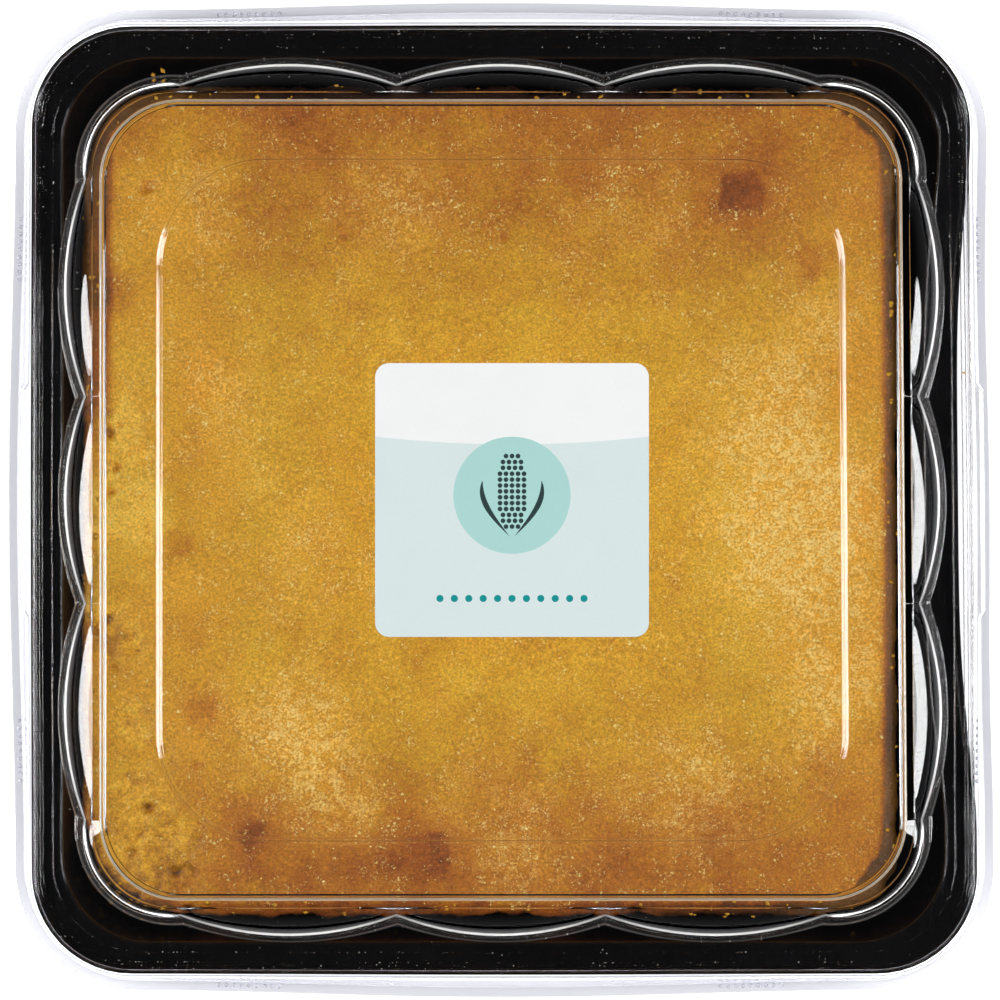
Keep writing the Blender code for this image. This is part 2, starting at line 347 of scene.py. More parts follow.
# %% Helpers for materials
class Finish:
    """A material and its node tree, with short calls to add nodes."""

    def __init__(self, name):
        self.material = bpy.data.materials.new(name)
        self.material.use_nodes = True
        self.tree = self.material.node_tree
        self.shader = self.tree.nodes["Principled BSDF"]
        self.output = self.tree.nodes["Material Output"]
        self.place = self.tree.nodes.new("ShaderNodeTexCoord").outputs["Object"]

    def feed(self, target, value):
        """Joins a socket to this input or sets its value. A plain colour is made opaque."""
        if isinstance(value, bpy.types.NodeSocket):
            self.tree.links.new(value, target)
        elif target.type == "RGBA":
            target.default_value = (*value, 1)
        else:
            target.default_value = value

    def set(self, **values):
        for name, value in values.items():
            self.feed(self.shader.inputs[name.replace("_", " ")], value)

    def node(self, kind, values=(), **settings):
        made = self.tree.nodes.new("ShaderNode" + kind)
        for name, value in settings.items():
            setattr(made, name, value)
        for key, value in dict(values).items():
            self.feed(made.inputs[key], value)
        return made

    def noise(self, grain, detail=2.0, rough=0.5, stretch=(1, 1, 1)):
        """Soft noise whose hills are about grain millimetres across."""
        place = self.place
        if stretch != (1, 1, 1):
            place = self.node("Mapping", {"Vector": place, "Scale": stretch}).outputs[0]
        values = {"Vector": place, "Scale": 1 / (grain * MM), "Detail": detail, "Roughness": rough}
        return self.node("TexNoise", values).outputs["Fac"]

    def ranged(self, value, low, high, to_low=0.0, to_high=1.0):
        values = {"Value": value, "From Min": low, "From Max": high, "To Min": to_low, "To Max": to_high}
        return self.node("MapRange", values).outputs[0]

    def math(self, operation, first, second=0.0):
        return self.node("Math", {0: first, 1: second}, operation=operation).outputs[0]

    def ramp(self, value, stops):
        """A colour ramp with stops given as (position, (red, green, blue))."""
        made = self.node("ValToRGB", {"Fac": value})
        marks = made.color_ramp.elements
        while len(marks) < len(stops):
            marks.new(0.5)
        for mark, (position, colour) in zip(marks, stops):
            mark.position = position
            mark.color = (*colour, 1)
        return made.outputs["Color"]

    def mix(self, share, first, second, blend="MIX"):
        values = {0: share, 6: first, 7: second}
        return self.node("Mix", values, data_type="RGBA", blend_type=blend).outputs[2]

    def shaded(self, colour, shade):
        """The colour, darkened or lightened by one number."""
        grey = self.node("CombineColor", {0: shade, 1: shade, 2: shade}).outputs[0]
        return self.mix(1.0, colour, grey, "MULTIPLY")

    def attribute(self, name):
        return self.node("Attribute", attribute_name=name).outputs["Fac"]

    def bump(self, height, depth, strength=1.0, under=None):
        """Adds relief this many millimetres deep, on top of the relief under it."""
        values = {"Height": height, "Distance": depth * MM, "Strength": strength}
        if under is not None:
            values["Normal"] = under
        return self.node("Bump", values).outputs["Normal"]


print("finish helper ready")

# %% [markdown]
# ## Camera, floor and light
#
# The pack is seen from straight above through a long lens, so its sides hardly show. It lies on a
# pale table top that glows most in a ring round it, which fills the steep parts of the lid with
# white. Two upright soft boxes, left and right, leave the long highlights in the lid. Overhead it
# stays dim, or the flat dome would mirror a grey veil over the bread.

# %% Place the camera
CAMERA_HEIGHT = 1800.0
FRAME_WIDTH = 208.2
camera_data = bpy.data.cameras.new("camera")
camera = add_object("camera", camera_data)
camera.location = (0, 0, (label_high[2] + CAMERA_HEIGHT) * MM)
camera_data.sensor_width = 36
camera_data.lens = camera_data.sensor_width * CAMERA_HEIGHT / FRAME_WIDTH
camera_data.clip_start = 0.05
camera_data.clip_end = 20
bpy.context.scene.camera = camera
bpy.context.scene.view_settings.view_transform = "Standard"
print("lens %.0f mm" % camera_data.lens)

# %% Lay the floor
FLOOR_HALF = 1500.0
floor_mesh = bpy.data.meshes.new("floor")
edge = FLOOR_HALF * MM
floor_corners = [(-edge, -edge, 0), (edge, -edge, 0), (edge, edge, 0), (-edge, edge, 0)]
floor_mesh.from_pydata(floor_corners, [], [(0, 1, 2, 3)])
floor = add_object("floor", floor_mesh)
print("floor %.1f m wide" % floor.dimensions.x)

# %% Make the table top glow
GLOW = ((0, 0.16), (0.115, 0.16), (0.14, 0.8), (0.165, 1.0), (0.195, 0.25), (0.24, 0.05), (1, 0.03))
GLOW_STRENGTH = 6.5

table = Finish("light_table")
table.set(Base_Color=(0.25, 0.25, 0.26), Roughness=0.9, Specular_IOR_Level=0.1)
from_pack = table.node("VectorMath", {0: table.place}, operation="LENGTH").outputs["Value"]
glow = table.node("FloatCurve", {"Value": from_pack, "Factor": 1.0})
curve = glow.mapping.curves[0]
for place, strength in GLOW[1:-1]:
    curve.points.new(place, strength)
curve.points[0].location = GLOW[0]
curve.points[-1].location = GLOW[-1]
glow.mapping.update()
lit = table.math("MULTIPLY", glow.outputs[0], GLOW_STRENGTH)
table.set(Emission_Color=(1, 1, 1), Emission_Strength=lit)
table.material.cycles.emission_sampling = "NONE"
floor_mesh.materials.append(table.material)
print("the glow is strongest %.0f mm from the middle" % (1000 * max(GLOW, key=lambda mark: mark[1])[0]))

# %% Set up the soft boxes
BOX_DISTANCE = 580.0
BOX_LENGTH = 235.0
BOX_SHIFT = -45.0
BOX_ELEVATION = (18.0, 52.0)


def area_light(name, size, watts, place):
    """A panel of light that the camera can't see."""
    data = bpy.data.lights.new(name, "AREA")
    data.size = size
    data.energy = watts
    light = add_object(name, data)
    light.location = place
    light.visible_camera = False
    print("%s: %.2f m long, %.1f W" % (name, size, watts))
    return light


def soft_box(name, side, watts):
    """An upright panel of light on one side, turned towards the pack."""
    low, high = (BOX_DISTANCE * math.tan(math.radians(angle)) for angle in BOX_ELEVATION)
    place = (side * BOX_DISTANCE * MM, BOX_SHIFT * MM, (low + high) / 2 * MM)
    box = area_light(name, BOX_LENGTH * MM, watts, place)
    box.data.shape = "ELLIPSE"
    box.data.size_y = (high - low) * MM
    away = box.location - Vector((0, 0, DOME_TOP * MM))
    box.rotation_euler = away.to_track_quat("Z", "Y").to_euler()


soft_box("left_soft_box", -1, 2.8)
soft_box("right_soft_box", 1, 3.0)

# %% Hang the fill light
FILL_WIDTH = 1.6
FILL_HEIGHT = 2.2
FILL_WATTS = 19
fill = area_light("overhead_fill", FILL_WIDTH, FILL_WATTS, (0, 0, FILL_HEIGHT))
fill.visible_glossy = False
fill.visible_transmission = False

# %% Give the room its dim light
world = bpy.data.worlds.new("studio")
bpy.context.scene.world = world
world.use_nodes = True
nodes, links = world.node_tree.nodes, world.node_tree.links
kinds = ("TexCoord", "SeparateXYZ", "ValToRGB", "Background", "LightPath", "MixShader")
made = [nodes.new("ShaderNode" + kind) for kind in kinds]
direction, parts, height, backdrop, paths, choose = made
background = nodes["Background"]
links.new(direction.outputs["Generated"], parts.inputs[0])
links.new(parts.outputs["Z"], height.inputs[0])
links.new(height.outputs[0], background.inputs[0])
height.color_ramp.elements[0].color = (0.12, 0.12, 0.122, 1)
height.color_ramp.elements[1].color = (0.012, 0.012, 0.013, 1)
height.color_ramp.elements[1].position = 0.75
backdrop.inputs[0].default_value = (0.80, 0.81, 0.82, 1)
links.new(paths.outputs["Is Camera Ray"], choose.inputs[0])
links.new(background.outputs[0], choose.inputs[1])
links.new(backdrop.outputs[0], choose.inputs[2])
links.new(choose.outputs[0], nodes["World Output"].inputs[0])

# %% [markdown]
# ## The black tray
#
# The tray is one thermoformed sheet: a flat floor, drafted walls, a shelf for the lid and a raised
# rim turned down outside. Its right side has been bent in on the way to the shop. It could be a box
# with bevels, but a profile swept round the rounded square is how the sheet really runs, and it
# keeps the wall one thickness everywhere.

# %% Finish of the black sheet
def black_sheet(name, shine):
    """Glossy black plastic with a faint orange-peel and fine rubbing marks."""
    made = Finish(name)
    made.set(Base_Color=(0.003, 0.003, 0.0032), IOR=1.4, Specular_IOR_Level=shine)
    rubbed = made.noise(9, detail=4)
    scratches = made.noise(0.5, detail=3, stretch=(1, 0.08, 1))
    gloss = made.math("MULTIPLY", rubbed, scratches)
    peel = made.bump(made.noise(2.4, detail=2), 0.012)
    made.set(Roughness=made.ranged(gloss, 0.15, 0.4, 0.10, 0.26), Normal=peel)
    return made.material


black_tray = black_sheet("black_tray", 0.5)
black_wall = black_sheet("black_wall", 0.1)
print("finishes:", black_tray.name, "and the duller", black_wall.name)

# %% Shape of the tray
TRAY_WALL = 0.6
TRAY_BEND = 3.3
TRAY_BEND_DROP = 3.5
LEDGE_TOP = 36.0
RIM_BOW = 0.2
SKIRT_BOW = 1.4
WALL_TOP_HALF = 92.9


def profile(rows, **shared):
    """Entries for rounded(): each row says where its rounding starts, then the station's fields."""
    return [(Station(*fields, **shared), start) for start, *fields in rows]


def tray_stations():
    """Upper side of the tray from its floor out to the turned-down edge."""
    floor_and_foot = [
        (0, 40, TRAY_WALL + 0.5, 6),
        (0.6, 66, TRAY_WALL + 0.5, 12),
        (0.6, 67.5, TRAY_WALL, 12.5),
        (3.0, 78.7, TRAY_WALL, 13.3),
        (1.0, 83.0, 8.0, 15.4),
        (0.6, 83.8, 8.6, 15.8),
    ]
    ledge = [(0.3, 93.0, 35.6, 18.4), (0.2, 93.6, LEDGE_TOP, 18.6)]
    rim = [
        (0.4, 97.4, LEDGE_TOP, 19.2),
        (0.1, 98.6, LEDGE_TOP + 0.1, 20.0),
        (0.1, 99.0, LEDGE_TOP + 0.5, 20.2),
        (0.05, 99.2, RIM_TOP, 20.5),
        (0.05, RIM_HALF - 0.35, RIM_TOP, 20.8),
        (0.1, RIM_HALF - 0.1, RIM_TOP - 4.4, 21.2),
        (0, RIM_HALF, RIM_TOP - 4.5, 21.2),
    ]
    bent = dict(tuck=SIDE_TUCK, bend=TRAY_BEND, drop=TRAY_BEND_DROP)
    rows = profile(floor_and_foot, tuck=SIDE_TUCK)
    rows += profile(ledge, **bent)
    rows += profile(rim, bow=RIM_BOW, **bent)
    return rounded(rows)


tray_rows = tray_stations()
tray_points, tray_faces = shell(tray_rows, TRAY_WALL)
tray = add_piece("formed_tray", tray_points, tray_faces, black_tray)
finish_rows(tray, tray_rows, lambda station: station.half < WALL_TOP_HALF, black_wall)
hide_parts("tray")

# %% [markdown]
# ## Soft noise for the crust
#
# The crust's lumps are modelled, not painted: light from the sides has to catch real hills. For that
# we need smooth random hills as plain numbers. This is gradient noise: a grid of random slopes,
# blended with a smooth curve. The seed makes it the same on every run.

# %% Gradient noise in plain numbers
def hills(x, y, size, seed):
    """Smooth random hills about size millimetres across, roughly from -1 to 1."""
    turn = np.random.default_rng(seed).uniform(0, 2 * np.pi, (256, 256))
    u, v = x / size + 7.3 * seed, y / size + 3.1 * seed
    i, j = np.floor(u).astype(int), np.floor(v).astype(int)
    u, v = u - i, v - j

    def slope(di, dj):
        angle = turn[(i + di) % 256, (j + dj) % 256]
        return np.cos(angle) * (u - di) + np.sin(angle) * (v - dj)

    ease_u, ease_v = (t * t * t * (t * (6 * t - 15) + 10) for t in (u, v))
    low = slope(0, 0) + ease_u * (slope(1, 0) - slope(0, 0))
    high = slope(0, 1) + ease_u * (slope(1, 1) - slope(0, 1))
    return 1.6 * (low + ease_v * (high - low))


def rough_hills(x, y, size, seed, octaves=4, fade=0.55):
    """Hills on hills: each octave is half the size and a little weaker."""
    total, weight = 0, 1
    for octave in range(octaves):
        total = total + weight * hills(x, y, size / 2**octave, seed + octave)
        weight *= fade
    return total


def smooth_step(value, low, high):
    """0 below low, 1 above high, and an easy curve between them."""
    t = np.clip((value - low) / (high - low), 0, 1)
    return t * t * (3 - 2 * t)


strip = hills(np.arange(200.0), np.zeros(200), 10, 1)
print("hills along a line from %.2f to %.2f" % (strip.min(), strip.max()))

# %% [markdown]
# ## The cornbread
#
# The bread is a square from a pan: a thin baked skin on top, browner towards two opposite edges and
# in a few hot spots, and torn along the left side where the skin stuck and the pale crumb shows. A
# subdivided cube with a displacement texture could make it, but then the colour would not know where
# the pits are. So we lay a fine grid over the whole form, work out each point's height in numbers,
# and store how *toasted* it is (with painted shade added at its edges, corners, sides and hollows),
# how *torn* it is, and how greasy it is (which also drives painted sheen), for the shader to use.

# %% Where the crust is browned, pale, torn, dented and greasy, with spots of painted sheen
HOT_SPOTS = (
    (52, 65, 7, 0.42), (47, 58, 14, 0.12), (66, 50, 4, 0.3), (-15, -76, 9, 0.35), (-54, -69, 6, 0.4),
    (43, -67, 8, 0.25), (4, -62, 10, 0.12), (-63, -44, 4, 0.6), (-67, -10, 4.5, 0.4),
    (-80, 44, 6, 0.35), (-66, 12, 8, 0.2), (-65, 2, 7, 0.2), (-64, 30, 9, 0.15), (-42, 78, 12, 0.12),
    (20, 74, 14, 0.12), (74, -55, 10, 0.2), (-82, 84, 12, 0.4), (24, -78, 9, 0.15), (-34, -80, 8, 0.2),
    (-66, -28, 5, 0.25), (-83, -30, 4, 0.4),
)
# Paler crust and crumb; the broad spot right of the middle, at (60, -4), is painted sheen.
PALE_AND_SHEEN_SPOTS = (
    (-80, 5, 22, 0.3), (-76, -70, 14, 0.3), (-72, 70, 16, 0.35), (60, -4, 24, 0.32),
    (-72, 34, 12, 0.15), (-76, 56, 10, 0.2), (66, -46, 12, 0.12), (0, 20, 30, 0.08),
)
TORN_SPOTS = (
    (-81, -4, 11, 1.0), (-80, 14, 9, 0.9), (-81, -28, 9, 0.8), (-79, -46, 8, 0.5), (-76, -64, 9, 0.9),
    (-70, -76, 9, 1.0), (-81, -79, 8, 0.9), (-54, -85, 7, 0.6), (-84, 66, 6, 0.4), (-72, -56, 7, 0.5),
    (-79, 34, 7, 0.3),
)
DENTS = (
    (-74.5, 66.7, 1.6, 1.0), (-75.0, 65.6, 1.1, 0.9), (-75.6, 63.4, 0.7, 0.7), (-33, 55.5, 0.7, 0.8),
    (1, 55.5, 0.8, 0.6), (-3, 28.3, 0.5, 0.6), (70, 27, 0.8, 0.6), (37, -18, 1.3, 0.25),
    (-58, -26, 0.8, 0.5), (22, 71, 0.7, 0.4), (-46, 44, 0.6, 0.5), (60, 47, 0.7, 0.5),
    (-64, -56, 0.8, 0.7), (-63, -68, 0.9, 0.8),
)
# Greasy places, which also set where painted sheen and painted glints go in the colour.
GREASY_SHEEN_SPOTS = (
    (60, 4, 15, 1.0), (64, -14, 14, 0.9), (56, 22, 10, 0.6), (68, 36, 10, 0.4), (70, -40, 12, 0.6),
    (-44, -48, 11, 0.8), (-36, -62, 10, 0.5), (40, -60, 14, 0.4), (-66, 64, 12, 0.3),
    (30, 60, 16, 0.25), (-60, 20, 12, 0.35), (-40, -10, 16, 0.25), (5, -70, 16, 0.3),
    (-20, 62, 14, 0.3),
)


def spread(spots, x, y, wobble=0.0):
    """How much of these round spots is felt at each point, with uneven outlines."""
    total = np.zeros_like(x)
    for number, (spot_x, spot_y, radius, strength) in enumerate(spots):
        reach = np.hypot(x - spot_x, y - spot_y) / radius
        reach = reach + wobble * rough_hills(x, y, radius * 0.9, 40 + number)
        total = total + strength * np.exp(-(reach**2) * 1.2)
    return total


print("spots:", len(HOT_SPOTS), "hot,", len(TORN_SPOTS), "torn,", len(DENTS), "dents")

# %% Lay the grid over the square
TOP_RINGS = 140
BREAD_CORNER = 13.2
BREAD_FOOT_CORNER = 11.0
BREAD_EDGE_ROUNDING = 2.45
EDGE_STARTS = 0.965
BREAD_CROWN = 2.0
BREAD_TAPER = 10.3
BREAD_SPREAD = 1.4
BREAD_SHIFT = -0.8
BREAD_FOOT = bread_low[2]
BREAD_EDGE = BREAD_FOOT + 28.0
FOOT_LIFT = 0.4
SOLE_SHARE = 0.985


def rounded_square(i, j, half, corner):
    """Sends grid places on the square ring of this half width onto a ring with round corners."""
    ring = np.maximum(np.maximum(np.abs(i), np.abs(j)), 1)
    lead = half - corner
    quarter = corner * math.pi / 4
    side_x = np.abs(i) >= np.abs(j)
    on_side = np.where(side_x, j, i) / ring
    along = np.abs(on_side) * (lead + quarter)
    angle = np.clip((along - lead) / np.maximum(corner, 0.01), 0, math.pi / 4)
    reach = lead + corner * np.cos(angle)
    across = np.minimum(along, lead) + corner * np.sin(angle)
    across = np.sign(on_side) * across
    x = np.where(side_x, np.sign(i) * reach, across)
    y = np.where(side_x, across, np.sign(j) * reach)
    return x, y


def bread_profile(rings):
    """Half width, corner radius and height of each ring, from the middle of the top to the foot."""
    half, corner, z = [], [], []
    top_half = BREAD_HALF[1] + BREAD_SPREAD
    for ring in range(TOP_RINGS + 1):
        share = ring / TOP_RINGS
        half.append((top_half - 0.6) * share)
        corner.append(BREAD_CORNER * share)
        over_edge = max(0, (share - EDGE_STARTS) / (1 - EDGE_STARTS))
        rounding = BREAD_EDGE_ROUNDING * (1 - math.sqrt(max(1 - over_edge**2, 0)))
        z.append(BREAD_EDGE + BREAD_CROWN * (1 - share**2) - rounding)
    for ring in range(1, rings + 1):
        share = (ring / rings) ** 0.8
        half.append(top_half - 0.6 * (1 - share) ** 4 - BREAD_TAPER * share)
        corner.append(BREAD_CORNER + (BREAD_FOOT_CORNER - BREAD_CORNER) * share)
        z.append(z[TOP_RINGS] + (BREAD_FOOT + FOOT_LIFT - z[TOP_RINGS]) * share)
    return np.array(half), np.array(corner), np.array(z)


SIDE_RINGS = 12
rings = TOP_RINGS + SIDE_RINGS
steps = np.arange(-rings, rings + 1)
grid_i, grid_j = np.meshgrid(steps, steps, indexing="ij")
level = np.maximum(np.abs(grid_i), np.abs(grid_j))
half_at, corner_at, z_at = bread_profile(SIDE_RINGS)
bread_x, bread_y = rounded_square(grid_i, grid_j, half_at[level], corner_at[level])
bread_x = bread_x * (1 - SIDE_TUCK) + BREAD_MIDDLE[0] + BREAD_SHIFT
bread_y = bread_y + BREAD_MIDDLE[1]
bread_z = z_at[level]
print("bread grid: %d points" % level.size)

# %% Raise the crust
def pan_waves(x, y):
    """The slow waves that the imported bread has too."""
    wave = np.sin(x / 19 + 0.6) * np.cos(y / 23 - 0.4)
    return 0.45 * (wave + 0.6 * np.sin((x + 2 * y) / 31))


def roughness(size, seed, octaves=4):
    """Hills on hills, felt at the bread's own points."""
    return rough_hills(bread_x, bread_y, size, seed, octaves)


def felt(spots, wobble):
    """How much of these spots is felt at the bread's own points."""
    return spread(spots, bread_x, bread_y, wobble)


share_out = half_at[level] / (BREAD_HALF[1] + BREAD_SPREAD)
on_top = smooth_step(bread_z, BREAD_FOOT + 12, BREAD_EDGE - 3)
near_edge = smooth_step(share_out, 0.93, 1.0)
across, along = bread_x - BREAD_MIDDLE[0], bread_y - BREAD_MIDDLE[1]
torn = felt(TORN_SPOTS, 0.35)
torn = smooth_step(torn + 0.3 * roughness(8, 5), 0.35, 0.8) * on_top
dents = felt(DENTS, 0.5)
pores = hills(bread_x, bread_y, 2.6, 21) + 0.5 * hills(bread_x, bread_y, 9, 22)
pores = smooth_step(pores, 0.80, 1.2)
crumb = roughness(3.6, 11, 2)
crumb_pits = smooth_step(-roughness(4.4, 13, 2), 0.45, 1.0)
skin = 0.13 * roughness(12, 1, 3)
skin += 0.05 * roughness(2.2, 8, 2)
lift = pan_waves(bread_x, bread_y) * on_top
lift += skin * (1 - 0.3 * torn)
lift -= torn * (0.35 - 0.40 * crumb + 1.3 * crumb_pits)
lift = lift - 0.9 * dents - 0.22 * pores * (1 - torn)
ragged = roughness(6, 31)
bread_z = bread_z + lift * on_top - 0.9 * near_edge * on_top * np.maximum(ragged, 0)
raggedness = 0.6 + 0.6 * smooth_step(np.abs(along), 75, 82)
outward = near_edge * (raggedness * ragged + 0.2)
bread_x += outward * np.sign(across) * (np.abs(grid_i) == level)
bread_y += outward * np.sign(along) * (np.abs(grid_j) == level)
print("crust height from %.1f to %.1f mm" % (bread_z[level < TOP_RINGS - 6].min(), bread_z.max()))

# %% Work out each point's toast with painted shade, its amber, and its grease with painted sheen
back, front = along / BREAD_HALF[1], -along / BREAD_HALF[1]
right, left = across / BREAD_HALF[0], -across / BREAD_HALF[0]
toast_and_shade = 0.27 + 0.40 * smooth_step(back, 0.35, 0.85) + 0.50 * smooth_step(front, 0.44, 0.95)
# Near the back edge the crust browns more; near the right edge it darkens as painted shade where it
# turns down.
toast_and_shade = toast_and_shade + 0.13 * smooth_step(back, 0.85, 1.0) + 0.35 * smooth_step(right, 0.93, 1.0)
toast_and_shade += felt(HOT_SPOTS, 0.35)
toast_and_shade -= felt(PALE_AND_SHEEN_SPOTS, 0.3)
toast_and_shade = toast_and_shade + 0.07 * roughness(15, 3, 3) + 0.12 * near_edge * ragged
# Round the margin, in the corners and along the upper left the crust goes almost black: partly burnt,
# partly painted shade beside the tray's walls.
at_corner = smooth_step(np.minimum(np.abs(across), np.abs(along)), 62, 80)
margin = smooth_step(share_out + 0.01 * ragged + 0.012 * at_corner, 0.955, 0.975)
front_right = smooth_step(across, 10, 60) * smooth_step(front, 0.85, 0.95)
upper_left = smooth_step(left, 0.93, 0.96) * smooth_step(back, 0.0, 0.3)
margin_browning_and_shade = 0.3 + 0.9 * smooth_step(back, 0.85, 0.95) + 1.2 * at_corner + 0.45 * front_right
toast_and_shade = toast_and_shade + margin * margin_browning_and_shade + 0.9 * upper_left
# Painted shade along the right edge, where the bread drops out of the light.
toast_and_shade += 0.9 * smooth_step(right, 0.955, 0.985)
# Painted shade down the bread's sides, over their browner crust.
toast_and_shade += 0.8 * smooth_step(level, TOP_RINGS - 2, TOP_RINGS + 2)
# Painted shade in the hollows: dents, pores and crumb pits are made darker.
toast_and_shade = toast_and_shade + 0.55 * np.minimum(dents, 1) + 0.12 * pores
toast_and_shade += torn * (0.55 * crumb_pits - 0.16 * crumb)
amber = smooth_step(right, 0.62, 0.95) + 0.7 * smooth_step(left, 0.55, 0.75) * (1 - torn)
patches = 0.75 + 0.5 * roughness(18, 61, 3)
amber = np.clip(on_top * amber * patches, 0, 1)
# Greasy skin: drives real gloss and painted sheen.
greasy_sheen = 0.12 + felt(GREASY_SHEEN_SPOTS, 0.3)
greasy_sheen += 0.12 * roughness(12, 71)
greasy_sheen = np.clip(greasy_sheen, 0, 1) * (1 - 0.8 * torn) * on_top - smooth_step(toast_and_shade, 0.9, 1.3)
print("toast from %.2f to %.2f" % (toast_and_shade.min(), toast_and_shade.max()))

# %% [markdown]
# ### Finish of the crust
#
# The colour runs from corn yellow through gold to a fox brown and, at the edges, almost to black:
# partly burnt crust, partly painted shade. It is driven by the stored toast value, which carries that
# painted shade, and broken up by two scales of noise. Where the skin is torn, a paler crumb takes its
# place. Where it is greasy, painted sheen turns it a brighter gold with pale patches.

# %% Colours of the crust
# The darkest stops, near black, are painted shade at the crust's edges and sides.
SKIN_COLOURS = (
    (0.00, (0.75, 0.450, 0.034)), (0.28, (0.64, 0.335, 0.017)), (0.52, (0.52, 0.225, 0.013)),
    (0.75, (0.43, 0.135, 0.010)), (1.00, (0.32, 0.080, 0.008)), (1.40, (0.10, 0.028, 0.005)),
    (1.80, (0.02, 0.007, 0.003)),
)
CRUMB_COLOURS = (
    (0.00, (0.92, 0.54, 0.065)), (0.35, (0.80, 0.40, 0.028)), (0.75, (0.47, 0.195, 0.014)),
    (1.40, (0.13, 0.050, 0.008)), (1.80, (0.02, 0.008, 0.003)),
)
AMBER = (0.78, 0.315, 0.020)
PALE_MEAL_AND_HIGHLIGHT = (1.0, 0.80, 0.27)
# Colours of painted sheen on the greasy skin.
SHEEN_GOLD = (1.0, 0.44, 0.035)
SHEEN_PALE = (1.0, 0.66, 0.18)
TOAST_AND_SHADE_TOP = 1.8


def crust_colour(made, greasy_sheen_value, grain, meal):
    """Toasted skin or torn crumb, both with painted shade; painted sheen of gold and pale lumps where
    oily; tone varied grain by grain.
    """
    torn_value = made.attribute("torn")
    blotch = made.noise(7, detail=5, rough=0.62)
    crumbs = made.noise(2.2, detail=4, rough=0.65)
    toast_and_shade_value = made.attribute("toast_and_shade")
    toast_and_shade_value = made.math("ADD", toast_and_shade_value, made.ranged(blotch, 0.3, 0.7, -0.13, 0.13))
    toast_and_shade_value = made.math("ADD", toast_and_shade_value, made.ranged(grain, 0.3, 0.7, -0.13, 0.13))
    rough_crumb = made.math("MULTIPLY", torn_value, made.ranged(crumbs, 0.32, 0.68, 0.30, -0.22))
    toast_and_shade_value = made.math("ADD", toast_and_shade_value, rough_crumb)
    toast_and_shade_share = made.math("DIVIDE", toast_and_shade_value, TOAST_AND_SHADE_TOP)
    skin_colour, crumb_colour = (
        made.ramp(toast_and_shade_share, [(place / TOAST_AND_SHADE_TOP, colour) for place, colour in colours])
        for colours in (SKIN_COLOURS, CRUMB_COLOURS)
    )
    amber_share = made.ranged(toast_and_shade_value, 0.1, 0.8, 0.75, 0.2)
    amber_share = made.math("MULTIPLY", made.attribute("amber"), amber_share)
    skin_colour = made.mix(amber_share, skin_colour, AMBER)
    colour = made.mix(torn_value, skin_colour, crumb_colour)
    # Painted sheen: the greasy skin is pushed to a brighter gold, with pale lumps on top.
    colour = made.mix(made.math("MULTIPLY", greasy_sheen_value, 0.6), colour, SHEEN_GOLD)
    lumps = made.ranged(made.noise(2.0, detail=4, rough=0.7), 0.47, 0.60, 0.0, 0.75)
    lumps = made.math("MULTIPLY", lumps, made.ranged(greasy_sheen_value, 0.2, 0.9, 0.0, 1.0))
    colour = made.mix(lumps, colour, SHEEN_PALE)
    shade = made.ranged(meal, 0.28, 0.72, 0.60, 1.26)
    return made.shaded(colour, shade)


print("crust colours:", len(SKIN_COLOURS), "for skin and", len(CRUMB_COLOURS), "for crumb")

# %% [markdown]
# Tiny grains of meal stand up from the greasy skin and flash. Noise alone gives soft clouds, and a
# flash has a sharp outline, so we use the cells of a Voronoi texture: warped a little, at two sizes,
# with only some of the cells chosen. More are chosen where the skin is greasy. A chosen cell is
# painted paler, a painted glint over the pale meal, and is smoother and slightly raised, so that the
# soft boxes catch it as well.

# %% Glints of meal
GLINT_CELLS = ((0.40, 0.46), (0.75, 0.30))
WARP_GRAIN = 0.6
WARP_REACH = 0.8


def meal_glints(made, wanted):
    """Small dots of uneven strength, from two sizes of warped cells."""
    values = {"Vector": made.place, "Scale": 1 / (WARP_GRAIN * MM), "Detail": 1.0}
    swirl = made.node("TexNoise", values).outputs["Color"]
    values = {0: swirl, "Scale": WARP_REACH * MM}
    swirl = made.node("VectorMath", values, operation="SCALE").outputs[0]
    swirled = made.node("VectorMath", {0: made.place, 1: swirl}, operation="ADD").outputs[0]
    glints = None
    for size, share_of_cells in GLINT_CELLS:
        cells = made.node("TexVoronoi", {"Vector": swirled, "Scale": 1 / (size * MM)})
        draws = made.node("SeparateColor", {"Color": cells.outputs["Color"]}).outputs
        limit = made.ranged(wanted, 0.0, 1.0, 1.0, 1 - share_of_cells)
        lit = made.ranged(made.math("SUBTRACT", draws[0], limit), 0.0, 0.03)
        lit = made.math("MULTIPLY", lit, made.ranged(draws[1], 0.0, 1.0, 0.3, 1.0))
        within = made.ranged(cells.outputs["Distance"], 0.26, 0.46, 1.0, 0.0)
        dot = made.math("MULTIPLY", lit, within)
        glints = dot if glints is None else made.math("MAXIMUM", glints, dot)
    return glints


print("glint cells of", [size for size, _ in GLINT_CELLS], "mm")


